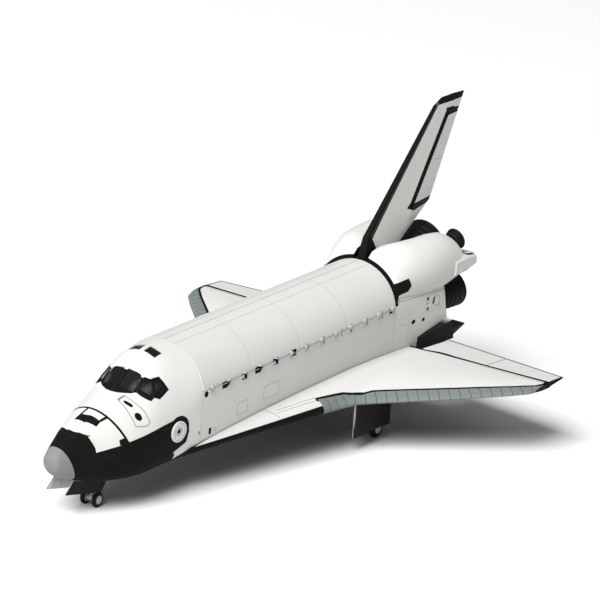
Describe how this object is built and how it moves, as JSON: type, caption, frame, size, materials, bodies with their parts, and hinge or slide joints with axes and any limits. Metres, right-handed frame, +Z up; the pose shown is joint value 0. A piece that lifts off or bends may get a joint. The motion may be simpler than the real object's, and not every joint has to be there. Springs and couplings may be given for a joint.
{
  "type": "scale model of a space shuttle",
  "caption": "Scale model of a winged space shuttle on its landing gear, with opening payload bay doors, hinged elevons, rudder and body flap, and wheels that turn.",
  "frame": {"origin": "on the floor under the middle of the model's bounding box", "axes": "+X towards the nose, +Y to the model's port side, +Z up; the airframe is pitched 3.45 degrees nose down on its wheels"},
  "size_m": [0.3695, 0.238, 0.1768],
  "materials": {
    "white_gloss": "gloss white paint",
    "black_satin": "satin black",
    "grey_cap": "satin mid grey",
    "grey_edge": "satin grey-green",
    "smoked_pane": "glossy black pane",
    "engine_black": "satin black",
    "gear_grey": "satin light grey",
    "wheel_black": "matt black"
  },
  "bodies": {
    "airframe": {"forward_thruster_module": "white_gloss", "crew_hatch": "white_gloss", "cabin_bulkhead": "white_gloss", "mid_fuselage": "white_gloss", "aft_fuselage": "white_gloss", "oms_pod_left": "white_gloss", "oms_pod_right": "white_gloss", "vertical_stabiliser": "white_gloss", "wing_left": "white_gloss", "wing_right": "white_gloss", "forward_fuselage": "black_satin", "base_heat_shield": "black_satin", "nose_gear_door_left": "black_satin", "nose_gear_door_right": "black_satin", "main_gear_door_left": "black_satin", "main_gear_door_right": "black_satin", "nose_cap": "grey_cap", "leading_edge_left": "grey_edge", "leading_edge_right": "grey_edge", "cabin_windows": "smoked_pane", "main_engine_upper": "engine_black", "main_engine_left": "engine_black", "main_engine_right": "engine_black", "oms_engine_left": "engine_black", "oms_engine_right": "engine_black", "nose_gear_leg": "gear_grey", "main_gear_leg_left": "gear_grey", "main_gear_leg_right": "gear_grey"},
    "bay_door_left": {"payload_door_left": "white_gloss"},
    "bay_door_right": {"payload_door_right": "white_gloss"},
    "elevon_inner_left": {"elevon_inner_left": "white_gloss"},
    "elevon_outer_left": {"elevon_outer_left": "white_gloss"},
    "elevon_inner_right": {"elevon_inner_right": "white_gloss"},
    "elevon_outer_right": {"elevon_outer_right": "white_gloss"},
    "flap": {"body_flap": "black_satin"},
    "rudder": {"rudder": "white_gloss"},
    "nose_wheels": {"nose_wheels": "wheel_black"},
    "main_wheels_left": {"main_wheels_left": "wheel_black"},
    "main_wheels_right": {"main_wheels_right": "wheel_black"}
  },
  "joints": [
    {"name": "payload_door_left", "type": "hinge", "parent": "airframe", "child": "bay_door_left", "pos_m": [0.00176, 0.02745, 0.0622], "axis": [-0.9982, 0, 0.0602], "range_deg": [0, 175]},
    {"name": "payload_door_right", "type": "hinge", "parent": "airframe", "child": "bay_door_right", "pos_m": [0.00176, -0.02745, 0.0622], "axis": [0.9982, 0, -0.0602], "range_deg": [0, 175]},
    {"name": "elevon_inner_left", "type": "hinge", "parent": "airframe", "child": "elevon_inner_left", "pos_m": [-0.11266, 0.05605, 0.0396], "axis": [0.0021, 0.9994, 0.0351], "range_deg": [-20, 35]},
    {"name": "elevon_outer_left", "type": "hinge", "parent": "airframe", "child": "elevon_outer_left", "pos_m": [-0.11257, 0.09795, 0.04106], "axis": [0.0021, 0.9994, 0.0343], "range_deg": [-20, 35]},
    {"name": "elevon_inner_right", "type": "hinge", "parent": "airframe", "child": "elevon_inner_right", "pos_m": [-0.11266, -0.05605, 0.0396], "axis": [-0.0021, 0.9994, -0.0351], "range_deg": [-20, 35]},
    {"name": "elevon_outer_right", "type": "hinge", "parent": "airframe", "child": "elevon_outer_right", "pos_m": [-0.11257, -0.09795, 0.04106], "axis": [-0.0021, 0.9994, -0.0343], "range_deg": [-20, 35]},
    {"name": "body_flap", "type": "hinge", "parent": "airframe", "child": "flap", "pos_m": [-0.15161, 0, 0.04074], "axis": [0, 1, 0], "range_deg": [-33.5, 0.7]},
    {"name": "rudder", "type": "hinge", "parent": "airframe", "child": "rudder", "pos_m": [-0.15238, 0, 0.14011], "axis": [-0.5205, 0, 0.8539], "range_deg": [-27, 27]},
    {"name": "nose_wheels", "type": "hinge", "parent": "airframe", "child": "nose_wheels", "pos_m": [0.14692, 0, 0.00405], "axis": [0, 1, 0], "continuous": true},
    {"name": "main_wheels_left", "type": "hinge", "parent": "airframe", "child": "main_wheels_left", "pos_m": [-0.06316, 0.0342, 0.00565], "axis": [0, 1, 0], "continuous": true},
    {"name": "main_wheels_right", "type": "hinge", "parent": "airframe", "child": "main_wheels_right", "pos_m": [-0.06316, -0.0342, 0.00565], "axis": [0, 1, 0], "continuous": true}
  ]
}
